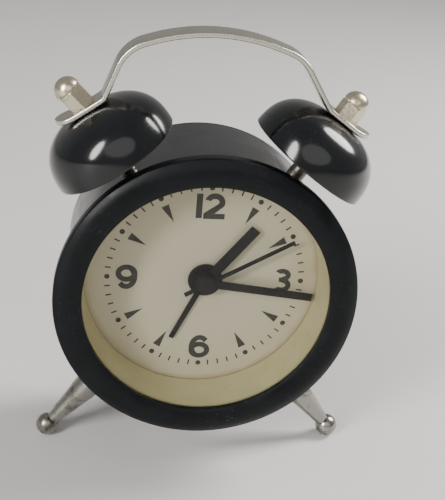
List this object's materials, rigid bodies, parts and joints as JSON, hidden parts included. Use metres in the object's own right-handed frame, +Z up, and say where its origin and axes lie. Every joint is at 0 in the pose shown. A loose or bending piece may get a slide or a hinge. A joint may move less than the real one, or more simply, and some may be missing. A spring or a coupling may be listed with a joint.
{
  "type": "twin-bell alarm clock",
  "caption": "Round table alarm clock with twin bells, a strap handle, turned legs, a plain dial with four numerals and a quartz movement inside.",
  "frame": {"origin": "on the table under the clock, at the middle of its width and depth", "axes": "+Z up, +Y from the dial to the back, +X to the viewer's right when facing the dial"},
  "size_m": [0.1034, 0.0584, 0.1401],
  "materials": {
    "black_paint": "satin black enamel, rubbed at the edges",
    "gloss_black": "glossy black enamel",
    "worn_nickel": "worn nickel plate, dulled and scratched",
    "brassy_nickel": "thin nickel plate with a warm cast",
    "pewter_plate": "dull worn plating with turning lines",
    "clear_lens": "clear, polished",
    "cream_plastic": "matt, slightly yellowed",
    "dial_paper": "aged cream printed card",
    "dial_ink": "matt dark grey print",
    "hand_paint": "matt dark grey paint",
    "black_plastic": "fine-grained black moulding",
    "white_plastic": "ivory moulding",
    "gear_plastic": "white acetal",
    "brass_wheel": "stamped brass",
    "steel": "zinc-plated steel",
    "spring_steel": "nickel-plated spring steel",
    "copper": "enamelled copper winding",
    "board_green": "lacquered board with a black blob of resin",
    "magnet": "dark sintered magnet",
    "cell_jacket": "plain printed steel jacket",
    "wire_jacket": "soft red insulation",
    "rubber_pad": "matt black rubber"
  },
  "bodies": {
    "case": {"front_bezel": "black_paint", "lens": "clear_lens", "dial_surround": "cream_plastic", "dial": "dial_paper", "dial_markings": "dial_ink", "case_drum": "black_paint", "rear_cover": "black_plastic", "foot_pad": "rubber_pad", "battery": "cell_jacket", "battery_spring": "spring_steel", "battery_contact": "spring_steel", "mounting_plate": "white_plastic", "movement_housing": "white_plastic", "stator": "steel", "coil": "copper", "circuit_board": "board_green", "quartz_crystal": "spring_steel", "buzzer": "black_plastic", "lead_wires": "wire_jacket", "bell_left": "gloss_black", "bell_right": "gloss_black", "bell_post_left": "worn_nickel", "bell_post_right": "worn_nickel", "cap_nut_left": "brassy_nickel", "cap_nut_right": "brassy_nickel", "handle": "worn_nickel", "leg_left": "pewter_plate", "leg_right": "pewter_plate", "thin_nuts": "steel", "cover_screws": "steel", "movement_screws": "steel"},
    "second_train": {"seconds_wheel": "brass_wheel", "second_hand": "hand_paint"},
    "minute_train": {"centre_wheel": "brass_wheel", "minute_hand": "hand_paint"},
    "hour_train": {"hour_wheel": "gear_plastic", "hour_hand": "hand_paint"},
    "alarm_train": {"alarm_wheel": "gear_plastic", "alarm_hand": "hand_paint"},
    "third": {"third_wheel": "gear_plastic"},
    "intermediate": {"intermediate_wheel": "gear_plastic"},
    "rotor": {"rotor": "magnet"},
    "minute_reduction": {"minute_wheel": "gear_plastic"},
    "time_knob": {"time_set_knob": "white_plastic"},
    "alarm_knob": {"alarm_set_knob": "white_plastic"},
    "battery_door": {"battery_door": "black_plastic"},
    "alarm_switch": {"alarm_switch": "white_plastic"}
  },
  "joints": [
    {"name": "seconds_turn", "type": "hinge", "parent": "case", "child": "second_train", "pos_m": [0.0009, 0.0021, 0.0604], "axis": [0, 1, 0], "continuous": true},
    {"name": "third_turn", "type": "hinge", "parent": "case", "child": "third", "pos_m": [0.0009, 0.0021, 0.0712], "axis": [0, 1, 0], "continuous": true},
    {"name": "minutes_turn", "type": "hinge", "parent": "case", "child": "minute_train", "pos_m": [0.0009, 0.0021, 0.0604], "axis": [0, 1, 0], "continuous": true},
    {"name": "intermediate_turn", "type": "hinge", "parent": "case", "child": "intermediate", "pos_m": [0.00783, 0.0021, 0.06733], "axis": [0, 1, 0], "continuous": true},
    {"name": "rotor_turn", "type": "hinge", "parent": "case", "child": "rotor", "pos_m": [0.01432, 0.0021, 0.07108], "axis": [0, 1, 0], "continuous": true},
    {"name": "reduction_turn", "type": "hinge", "parent": "case", "child": "minute_reduction", "pos_m": [-0.0071, 0.0021, 0.0604], "axis": [0, 1, 0], "continuous": true},
    {"name": "hours_turn", "type": "hinge", "parent": "case", "child": "hour_train", "pos_m": [0.0009, 0.0021, 0.0604], "axis": [0, 1, 0], "continuous": true},
    {"name": "time_knob_turn", "type": "hinge", "parent": "case", "child": "time_knob", "pos_m": [-0.01477, 0.0021, 0.0604], "axis": [0, 1, 0], "continuous": true},
    {"name": "alarm_turn", "type": "hinge", "parent": "case", "child": "alarm_train", "pos_m": [0.0009, 0.0021, 0.0604], "axis": [0, 1, 0], "continuous": true},
    {"name": "alarm_knob_turn", "type": "hinge", "parent": "case", "child": "alarm_knob", "pos_m": [0.01242, 0.0021, 0.0604], "axis": [0, 1, 0], "continuous": true},
    {"name": "battery_door_hinge", "type": "hinge", "parent": "case", "child": "battery_door", "pos_m": [0, 0.02235, 0.0324], "axis": [-1, 0, 0], "range_deg": [0, 75]},
    {"name": "alarm_switch_slide", "type": "slide", "parent": "case", "child": "alarm_switch", "axis": [1, 0, 0], "range_m": [0, 0.004]}
  ],
  "couplings": [
    {"joint": "third_turn", "follows": "seconds_turn", "ratio": -0.13333},
    {"joint": "minutes_turn", "follows": "seconds_turn", "ratio": 0.016667},
    {"joint": "intermediate_turn", "follows": "seconds_turn", "ratio": -6},
    {"joint": "rotor_turn", "follows": "seconds_turn", "ratio": 30},
    {"joint": "reduction_turn", "follows": "seconds_turn", "ratio": -0.0055556},
    {"joint": "hours_turn", "follows": "seconds_turn", "ratio": 0.0013889},
    {"joint": "time_knob_turn", "follows": "seconds_turn", "ratio": 0.02},
    {"joint": "alarm_knob_turn", "follows": "alarm_turn", "ratio": -1.2857}
  ]
}
